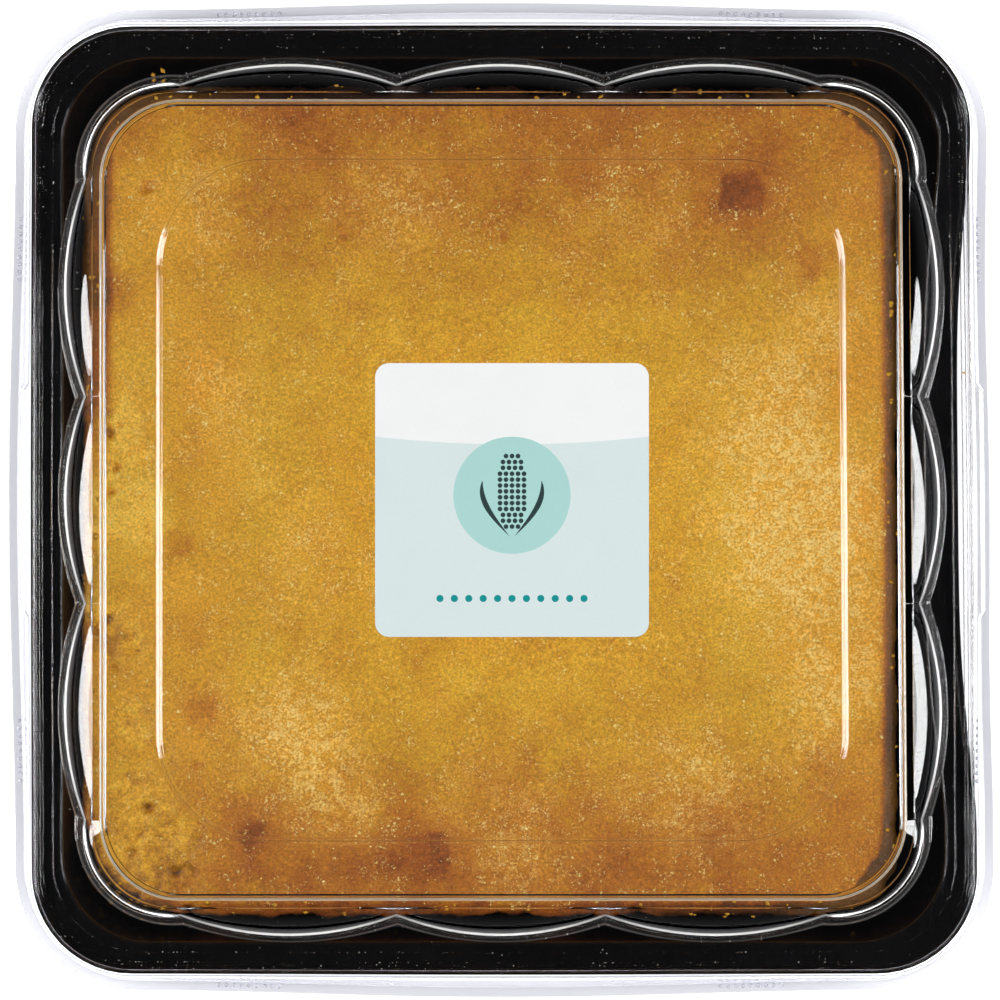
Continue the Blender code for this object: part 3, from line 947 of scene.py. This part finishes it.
# %% Finish of the crust
def crust_finish():
    """The whole crust: colour with painted shade and painted sheen, painted glints, smeared painted
    sheen, and relief.
    """
    made = Finish("baked_crust")
    greasy_sheen_value = made.attribute("greasy_sheen")
    grain = made.noise(1.3, detail=3, rough=0.6)
    meal = made.noise(0.5, detail=2, rough=0.6)
    colour = crust_colour(made, greasy_sheen_value, grain, meal)
    clumps = made.ranged(made.noise(3.5, detail=4, rough=0.7), 0.40, 0.62, -0.60, 0.50)
    wanted = made.math("ADD", clumps, greasy_sheen_value)
    glints = meal_glints(made, wanted)
    # Painted glints: the chosen cells are painted pale, over pale meal.
    colour = made.mix(glints, colour, PALE_MEAL_AND_HIGHLIGHT)
    # Greasy smears, painted pale as a painted sheen.
    limit = made.ranged(wanted, 0.0, 1.0, 0.70, 0.50)
    sheen_smears = made.ranged(made.math("SUBTRACT", meal, limit), 0.0, 0.08)
    colour = made.mix(made.math("MULTIPLY", sheen_smears, 0.35), colour, PALE_MEAL_AND_HIGHLIGHT)
    shiny = made.math("MAXIMUM", glints, sheen_smears)
    relief = made.bump(made.noise(2.4, detail=3), 0.22)
    relief = made.bump(grain, 0.22, under=relief)
    relief = made.bump(meal, 0.20, under=relief)
    relief = made.bump(glints, 0.10, under=relief)
    made.set(Base_Color=colour, Roughness=made.ranged(shiny, 0.0, 1.0, 0.50, 0.20))
    made.set(Normal=relief, IOR=1.45)
    return made.material


baked_crust = crust_finish()
print("crust nodes:", len(baked_crust.node_tree.nodes))


# %% Make the bread's mesh
def grid_faces(size):
    """Quads over a size by size grid of points."""
    i, j = np.meshgrid(np.arange(size - 1), np.arange(size - 1), indexing="ij")
    a = i * size + j
    return np.stack([a, a + size, a + size + 1, a + 1], axis=-1).reshape(-1, 4).tolist()


def rim_loop(size):
    """The grid's outermost points, in order, once round."""
    number = np.arange(size * size).reshape(size, size)
    sides = (number[0], number[1:, -1], number[-1, -2::-1], number[-2:0:-1, 0])
    return np.concatenate(sides).tolist()


size = len(steps)
bread_points = np.column_stack([bread_x.ravel(), bread_y.ravel(), bread_z.ravel()])
bread_faces = grid_faces(size)
loop = rim_loop(size)
bread_points[loop, 2] = BREAD_FOOT + FOOT_LIFT
sole = bread_points[loop] * [SOLE_SHARE, SOLE_SHARE, 0] + [0, 0, BREAD_FOOT]
start = len(bread_points)
bread_points = np.concatenate([bread_points, sole, [[*BREAD_MIDDLE[:2], BREAD_FOOT]]])
for k in range(len(loop)):
    following = (k + 1) % len(loop)
    bread_faces.append((loop[k], loop[following], start + following, start + k))
    bread_faces.append((start + k, start + following, len(bread_points) - 1))
bread = add_piece("cornbread_square", bread_points, bread_faces, baked_crust)
for name, values in (("toast_and_shade", toast_and_shade), ("torn", torn), ("amber", amber), ("greasy_sheen", greasy_sheen)):
    sole_value = np.full(len(bread_points) - values.size, values[0, 0])
    store(bread, name, np.concatenate([values.ravel(), sole_value]))
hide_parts("cornbread")

# %% [markdown]
# ## The clear lid
#
# The lid is the piece that makes or breaks the picture. It is a real closed sheet of clear plastic:
# light bends at both of its surfaces, and every rounding in the profile shows as a thin bright line.
# Starting from the middle it has a sunken panel (so that packs stack), a raised border, a small
# bead, a rounded shoulder, a steep scalloped wall, a stepped channel over the tray's rim, and a
# skirt with a flat lip. On the left and right a thumb tab is pushed out of the skirt.

# %% Finish of the clear sheet
def clear_sheet(name, colour, clearness, see_through_colour):
    """Clear plastic that stays see-through for shadows and soft light, so the bread is lit."""
    made = Finish(name)
    made.set(Base_Color=colour, Transmission_Weight=clearness, IOR=1.54)
    smear = made.noise(13, detail=4, stretch=(1, 0.4, 1))
    made.set(Roughness=made.ranged(smear, 0.4, 0.7, 0.0, 0.02))
    made.set(Normal=made.bump(made.noise(11, detail=1), 0.02))
    see_through = made.node("BsdfTransparent", {"Color": see_through_colour}).outputs[0]
    path = made.node("LightPath")
    for ray in ("Is Shadow Ray", "Is Diffuse Ray"):
        surface = made.output.inputs["Surface"]
        shader = surface.links[0].from_socket
        mixed = made.node("MixShader", {"Fac": path.outputs[ray], 1: shader, 2: see_through})
        made.feed(surface, mixed.outputs[0])
    return made.material


CLEAR_TINT = (0.975, 0.98, 0.985)
HAZE_TINT = (0.9, 0.9, 0.92)
clear = clear_sheet("clear_lid", (0.985, 0.99, 1.0), 1.0, CLEAR_TINT)
rubbed_wall = clear_sheet("rubbed_wall", (0.8, 0.8, 0.8), 0.93, HAZE_TINT)
# A hazy sheet whose grey-lavender is painted shade, standing in for the shaded floor seen through the
# lip.
skirt_haze_and_shade = clear_sheet("skirt_haze_and_shade", (0.85, 0.85, 0.91), 0.42, HAZE_TINT)
# Painted highlights: pale hazy sheets on the bead and crest stand in for their thin bright reflected
# lines.
painted_bead_highlight = clear_sheet("painted_bead_highlight", (0.95, 0.84, 0.66), 0.55, HAZE_TINT)
painted_crest_highlight = clear_sheet("painted_crest_highlight", (0.95, 0.94, 0.93), 0.45, HAZE_TINT)
print("sheet finishes:", clear.name, rubbed_wall.name, skirt_haze_and_shade.name)

# %% Shape of the lid
LID_WALL = 0.5
LID_BEND = 1.5
CHANNEL_TOP = RIM_TOP + 0.9
PANEL_DROP = 0.9
CREST = DOME_TOP - 5.5


def lid_stations():
    """Upper side of the lid from its sunken panel out to the lip of the skirt."""
    top = DOME_TOP
    dome = [
        (0, 62.0, top - PANEL_DROP, 16.0),
        (0.12, 70.3, top - PANEL_DROP, 21.6),
        (0.02, 70.8, top - 0.50, 22.0),
        (0.02, 70.97, top - 0.42, 22.2),
        (0.6, 71.51, top, 22.8),
        (0.03, 82.2, top, 16.2),
        (0.02, 82.6, top - 0.20, 16.4),
        (0.02, 83.05, top - 0.22, 16.6),
        (0.02, 83.3, top - 0.35, 16.7),
        (0.03, 83.40, top - 0.52, 16.8),
    ]
    notched = [(0.08, 84.9, top - 0.74, 17.0), (0.05, 85.1, top - 0.80, 17.0)]
    channel = [
        (0.02, 95.2, CHANNEL_TOP - 2.0, 18.8),
        (0.02, 95.3, CHANNEL_TOP - 1.945, 18.8),
        (0.02, 97.3, CHANNEL_TOP - 1.92, 19.3),
        (0.01, 97.36, CHANNEL_TOP - 1.89, 19.3),
        (0.02, 97.95, CHANNEL_TOP - 1.88, 19.5),
        (0.02, 98.07, CHANNEL_TOP - 1.815, 19.5),
        (0.2, 98.65, CHANNEL_TOP - 1.75, 20.1),
        (0.05, 98.9, CHANNEL_TOP, 20.3),
    ]
    tab = [(0.2, 100.4, CHANNEL_TOP, 21.6, 0.3), (0.3, 101.0, CHANNEL_TOP - 0.9, 22.2, 0.6)]
    skirt = [
        (0.4, 102.8, SKIRT_BOTTOM + 1.0, 24.2),
        (0.2, 103.1, SKIRT_BOTTOM + 0.5, 24.4),
        (0, SKIRT_HALF, SKIRT_BOTTOM + 0.5, 26.0),
    ]
    rows = profile(dome) + profile(notched, notch=0.6)
    rows += profile([(9.0, 86.2, top - 1.50, 17.0)], scallop=2.1, dip=1.0)
    rows += profile([(0.3, 86.7, CREST, 18.0)], scallop=4.3, dip=-2.4)
    rows += profile([(0.5, 89.1, CHANNEL_TOP - 2.0, 20.0)], scallop=3.8)
    rows += profile(channel, bow=RIM_BOW, tuck=SIDE_TUCK)
    rows += profile(tab, tuck=SIDE_TUCK, tab=0.9)
    rows += profile(skirt, bow=SKIRT_BOW, tuck=SIDE_TUCK, bend=LID_BEND)
    return rounded(rows)


lid_rows = lid_stations()
lid_points, lid_faces = shell(lid_rows, LID_WALL)
lid = add_piece("clear_lid", lid_points, lid_faces, clear)
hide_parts("lid")

# %% Make the wall hazy, the skirt hazy with painted shade, and the bead and crest painted highlights
SKIRT_FROM = 99.9
WALL_BOTTOM_HALF = 89.6
BEAD = (83.29, 83.41)
CREST_BAND = (86.66, 86.9)


def on_wall(station):
    return station.half < WALL_BOTTOM_HALF and station.z < CREST - 0.4


def on_bead(station):
    return BEAD[0] < station.half < BEAD[1]


def on_crest(station):
    return CREST_BAND[0] < station.half < CREST_BAND[1] and station.z > CREST - 0.3


def on_skirt(station):
    return station.half >= SKIRT_FROM


finish_rows(lid, lid_rows, on_wall, rubbed_wall)
finish_rows(lid, lid_rows, on_bead, painted_bead_highlight)
finish_rows(lid, lid_rows, on_crest, painted_crest_highlight)
finish_rows(lid, lid_rows, on_skirt, skirt_haze_and_shade)

# %% Leave the thumb tabs clear
centres = np.empty(3 * len(lid.data.polygons))
lid.data.polygons.foreach_get("center", centres)
x, y, z = np.abs(centres.reshape(-1, 3).T) / MM
on_tab = (y < TAB_HALF - TAB_END) & (x > SKIRT_FROM * (1 - SIDE_TUCK)) & (z > CHANNEL_TOP - 2.6)
paint(lid, on_tab, 0)
print("clear faces on the tabs:", int(on_tab.sum()))

# %% [markdown]
# ## Grip dots on the skirt
#
# Near each end of every side the lip carries a short row of tiny raised dots for the thumb. They are
# pressed into the same sheet, but far too fine for its rings, so they are a piece of their own: low
# domes standing on the lip.

# %% Dome shapes in rows
GRIP_DOTS = 9
GRIP_PITCH = 1.6
GRIP_MIDDLE = 53.0
GRIP_REACH = 1.3
DOT_RADIUS = 0.5
DOT_HEIGHT = 0.32
LIP_STRAIGHT = 79.0
RIGHT_INSET = 0.5


def low_domes(places, radius, height, around=12, rings=4):
    """Closed low domes at these places, joined into one piece."""
    points, faces = [], []
    turn = np.linspace(0, 2 * np.pi, around, endpoint=False)
    for x, y, z in places:
        start = len(points)
        for ring in range(rings):
            tilt = ring / rings * math.pi / 2
            reach = radius * math.cos(tilt)
            up = z + height * math.sin(tilt)
            points += [(x + reach * math.cos(t), y + reach * math.sin(t), up) for t in turn]
        points.append((x, y, z + height))
        faces += [[start + corner for corner in face] for face in strip_faces(rings, around)]
        top = start + around * (rings - 1)
        faces += [(top + k, top + (k + 1) % around, start + around * rings) for k in range(around)]
        faces.append(tuple(start + k for k in reversed(range(around))))
    return points, faces


def grip_places():
    """Both rows of every side, following the lip where the side bows."""
    places = []
    for quarter in range(4):
        tuck = 1 - SIDE_TUCK if quarter in (0, 2) else 1.0
        for row in (-1, 1):
            for k in range(GRIP_DOTS):
                y = row * GRIP_MIDDLE + (k - (GRIP_DOTS - 1) / 2) * GRIP_PITCH
                bow = SKIRT_BOW * math.cos(math.pi * y / (2 * LIP_STRAIGHT)) ** 2
                x = (SKIRT_HALF - SKIRT_BOW + bow - GRIP_REACH) * tuck
                x = x - (RIGHT_INSET if quarter == 0 else 0)
                turned = [(x, y), (-y, x), (-x, -y), (y, -x)][quarter]
                places.append((*turned, SKIRT_BOTTOM + 0.48))
    return places


dots_points, dots_faces = low_domes(grip_places(), DOT_RADIUS, DOT_HEIGHT)
dot_plastic = clear_sheet("dot_plastic", (0.85, 0.85, 0.91), 0.7, HAZE_TINT)
add_piece("grip_dots", dots_points, dots_faces, dot_plastic)

# %% [markdown]
# ## Crumbs and dust
#
# A packed cornbread sheds. Coarse crumbs lie along the torn edge of the bread, and a fine dust of
# meal sticks to the plastic, where it shows as tiny light specks against the black. Both are real
# little lumps scattered by seeded random draws, so each run gives the same ones.

# %% Scatter little lumps
def lumps(places, sizes, seed):
    """An uneven eight-sided lump at each place, joined into one piece."""
    draw = np.random.default_rng(seed)
    corners = np.array([(1, 0, 0), (0, 1, 0), (-1, 0, 0), (0, -1, 0), (0, 0, 1), (0, 0, -1)])
    sides = [(0, 1, 4), (1, 2, 4), (2, 3, 4), (3, 0, 4), (1, 0, 5), (2, 1, 5), (3, 2, 5), (0, 3, 5)]
    points, faces = [], []
    for place, size in zip(places, sizes):
        start = len(points)
        turn = draw.uniform(0, 2 * math.pi)
        c, s = math.cos(turn), math.sin(turn)
        spin = np.array([[c, -s, 0], [s, c, 0], [0, 0, 0.7]])
        grown = corners * draw.uniform(0.6, 1.3, (6, 1)) * size / 2
        points += (np.asarray(place) + grown @ spin.T).tolist()
        faces += [[start + corner for corner in side] for side in sides]
    return points, faces


draw = np.random.default_rng(12)
edge_levels = np.argwhere((level >= TOP_RINGS - 6) & (level <= TOP_RINGS + 2))
chosen = edge_levels[draw.choice(len(edge_levels), 900, replace=False)]
crumb_places = [
    (bread_x[i, j], bread_y[i, j], bread_z[i, j] + 0.1)
    for i, j in chosen
    if torn[i, j] > 0.3 or draw.random() < 0.22
]
crumb_places += [(97.5, 26.7, CHANNEL_TOP + 0.3)]
crumb_places += [(-70.9, 90.3, LEDGE_TOP + 0.4), (-73, 89.5, LEDGE_TOP + 0.3)]
crumb_sizes = draw.uniform(0.45, 1.5, len(crumb_places))
lump_points, lump_faces = lumps(crumb_places, crumb_sizes, 5)
crumbs = add_piece("loose_crumbs", lump_points, lump_faces, baked_crust)
for name, value in (("toast_and_shade", 0.35), ("torn", 0.8), ("amber", 0.2), ("greasy_sheen", 0.0)):
    store(crumbs, name, np.full(len(lump_points), value))

# %% Dust the plastic
DUST_COUNT = 1500
DUSTY_FROM, DUSTY_TO = 85.5, 99.0


def dust_finish():
    """Dry meal: pale, matt, a little different from speck to speck."""
    made = Finish("meal_dust")
    shades = [(0.3, (0.45, 0.42, 0.38)), (0.7, (0.80, 0.78, 0.72))]
    made.set(Base_Color=made.ramp(made.noise(5, detail=1), shades), Roughness=0.8)
    return made.material


dusty = [row for row, station in enumerate(lid_rows) if DUSTY_FROM < station.half < DUSTY_TO]
dust_rows = draw.choice(dusty, DUST_COUNT)
dust_turns = draw.integers(0, RING_POINTS, DUST_COUNT)
along_row = draw.random((DUST_COUNT, 1))
lid_array = np.array(lid_points[: len(lid_rows) * RING_POINTS])
lid_array = lid_array.reshape(len(lid_rows), RING_POINTS, 3)
here = lid_array[dust_rows, dust_turns]
beyond = lid_array[dust_rows + 1, (dust_turns + 1) % RING_POINTS]
dust_places = here + (beyond - here) * along_row + [0, 0, 0.05]
dust_sizes = 0.07 + 0.22 * draw.random(DUST_COUNT) ** 3
speck_points, speck_faces = lumps(dust_places, dust_sizes, 6)
add_piece("meal_dust", speck_points, speck_faces, dust_finish())

# %% [markdown]
# ## The label
#
# A square paper sticker with rounded corners lies in the sunken panel. Its print is a plain design of
# our own in pale sea colours: flat fields of ink, each a thin sheet of its own on the paper, because
# a cut edge stays sharp from any distance.

# %% Flat shapes for paper and ink
def disc_outline(x, y, radius, steps=64):
    turn = np.linspace(0, 2 * np.pi, steps, endpoint=False)
    return np.column_stack([x + radius * np.cos(turn), y + radius * np.sin(turn)])


def rounded_outline(half_x, half_y, corner, x=0.0, y=0.0, steps=10):
    """A rectangle with round corners, counter-clockwise."""
    points = []
    for turn in range(4):
        middle_x = (half_x - corner) * (1 if turn in (0, 3) else -1)
        middle_y = (half_y - corner) * (1 if turn in (0, 1) else -1)
        for angle in np.linspace(turn, turn + 1, steps) * np.pi / 2:
            across, along = corner * math.cos(angle), corner * math.sin(angle)
            points.append((x + middle_x + across, y + middle_y + along))
    return np.array(points)


def flat_sheets(outlines, z, thickness):
    """Points and faces of thin closed sheets with these outlines, joined into one piece."""
    points, faces = [], []
    for outline in outlines:
        count, start = len(outline), len(points)
        for height in (z, z + thickness):
            points += [(x, y, height) for x, y in outline]
        faces.append(tuple(range(start + count - 1, start - 1, -1)))
        faces.append(tuple(range(start + count, start + 2 * count)))
        for k in range(count):
            here, beyond = start + k, start + (k + 1) % count
            faces.append((here, beyond, count + beyond, count + here))
    return points, faces


print("a disc has %d points round it" % len(disc_outline(0, 0, 1)))


# %% Finishes of paper and ink
def paper_finish(name, colour, mottle=0.03):
    """Coated paper, or ink on it, with a faint fibre grain and slightly uneven coverage."""
    made = Finish(name)
    fibres = made.noise(0.35, detail=3)
    cloud = made.noise(9, detail=3)
    shade = made.math("ADD", made.ranged(fibres, 0.3, 0.7, -mottle / 2, mottle / 2), 1.0)
    shade = made.math("ADD", shade, made.ranged(cloud, 0.3, 0.7, -mottle / 3, mottle / 3))
    made.set(Base_Color=made.shaded(colour, shade), Normal=made.bump(fibres, 0.006))
    made.set(Roughness=0.6, Specular_IOR_Level=0.3)
    return made.material


white_paper = paper_finish("white_paper", (0.90, 0.91, 0.91))
sea_grey_ink = paper_finish("sea_grey_ink", (0.69, 0.79, 0.79))
mint_ink = paper_finish("mint_ink", (0.41, 0.68, 0.65))
slate_ink = paper_finish("slate_ink", (0.022, 0.045, 0.05))
teal_ink = paper_finish("teal_ink", (0.0, 0.28, 0.29))
print("inks:", [ink.name for ink in (sea_grey_ink, mint_ink, slate_ink, teal_ink)])

# %% Cut the paper and print it
LABEL_CORNER = 2.9
LABEL_BOTTOM = label_low[2]
LABEL_THICKNESS = label_high[2] - label_low[2] - 0.03
INK = 0.01
label_x, label_y = LABEL_MIDDLE[:2]
paper_top = LABEL_BOTTOM + LABEL_THICKNESS


def label_piece(name, outlines, z, thickness, material):
    """A flat piece of the label, too thin to throw a shadow of its own."""
    points, faces = flat_sheets(outlines, z, thickness)
    piece = add_piece(name, points, faces, material)
    piece.data.shade_flat()
    piece.visible_shadow = False
    return piece


paper_outline = rounded_outline(LABEL_HALF, LABEL_HALF, LABEL_CORNER, label_x, label_y)
paper = label_piece("paper_label", [paper_outline], LABEL_BOTTOM, LABEL_THICKNESS, white_paper)
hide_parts("label")

# %% Print the field, the roundel and the ear of corn
FIELD_TOP = 13.2
FIELD_DIP = 1.6
KERNEL_PITCH = 1.25
KERNEL_ROW = 1.224
KERNEL_RADIUS = 0.5
MOTIF_RAISE = 1.0
ROUNDEL_RADIUS = 12.2
DOTS_PITCH = 3.0
DOTS_DROP = 20.5


def field_outline():
    """The lower field of the label: straight foot with round corners, and a top edge that dips."""
    foot = [point for point in paper_outline if point[1] < label_y]
    across = np.linspace(1, -1, 40)
    top_y = label_y + FIELD_TOP - FIELD_DIP * (1 - across**2)
    top = np.column_stack([label_x + LABEL_HALF * across, top_y])
    return np.concatenate([top, foot])


def ear_outlines(x, y):
    """Kernels in staggered rows within a pointed oval, and two leaves at its foot."""
    shapes = []
    for row in range(-6, 7):
        reach = 3.1 * math.sqrt(max(0, 1 - (row / 7.2) ** 2))
        count = max(1, round(2 * reach / KERNEL_PITCH))
        for k in range(count):
            across = (k - (count - 1) / 2) * KERNEL_PITCH
            shapes.append(disc_outline(x + across, y + KERNEL_ROW * row + 0.8, KERNEL_RADIUS, 14))
    for side in (-1, 1):
        t = np.linspace(0, 1, 24)
        curl, rise = np.sin(np.pi * t * 0.62), y - 8.6 + 11.5 * t
        outer = np.column_stack([x + side * (0.5 + 6.2 * curl), rise])
        inner = np.column_stack([x + side * (0.5 + 4.2 * curl + 1.7 * t**2), rise])
        leaf = np.concatenate([outer, inner[::-1]])
        shapes.append(leaf if side > 0 else leaf[::-1])
    return shapes


motif_y = label_y + MOTIF_RAISE
roundel = disc_outline(label_x, motif_y, ROUNDEL_RADIUS, 96)
dot_places = [label_x + DOTS_PITCH * k for k in range(-5, 6)]
dots = [disc_outline(x, label_y - DOTS_DROP, 0.75, 20) for x in dot_places]
ear_bottom = paper_top + 2 * INK
label_piece("label_field", [field_outline()], paper_top, INK, sea_grey_ink)
label_piece("label_roundel", [roundel], paper_top + INK, INK, mint_ink)
label_piece("label_ear", ear_outlines(label_x, motif_y), ear_bottom, INK, slate_ink)
label_piece("label_dots", dots, paper_top + INK, INK, teal_ink)
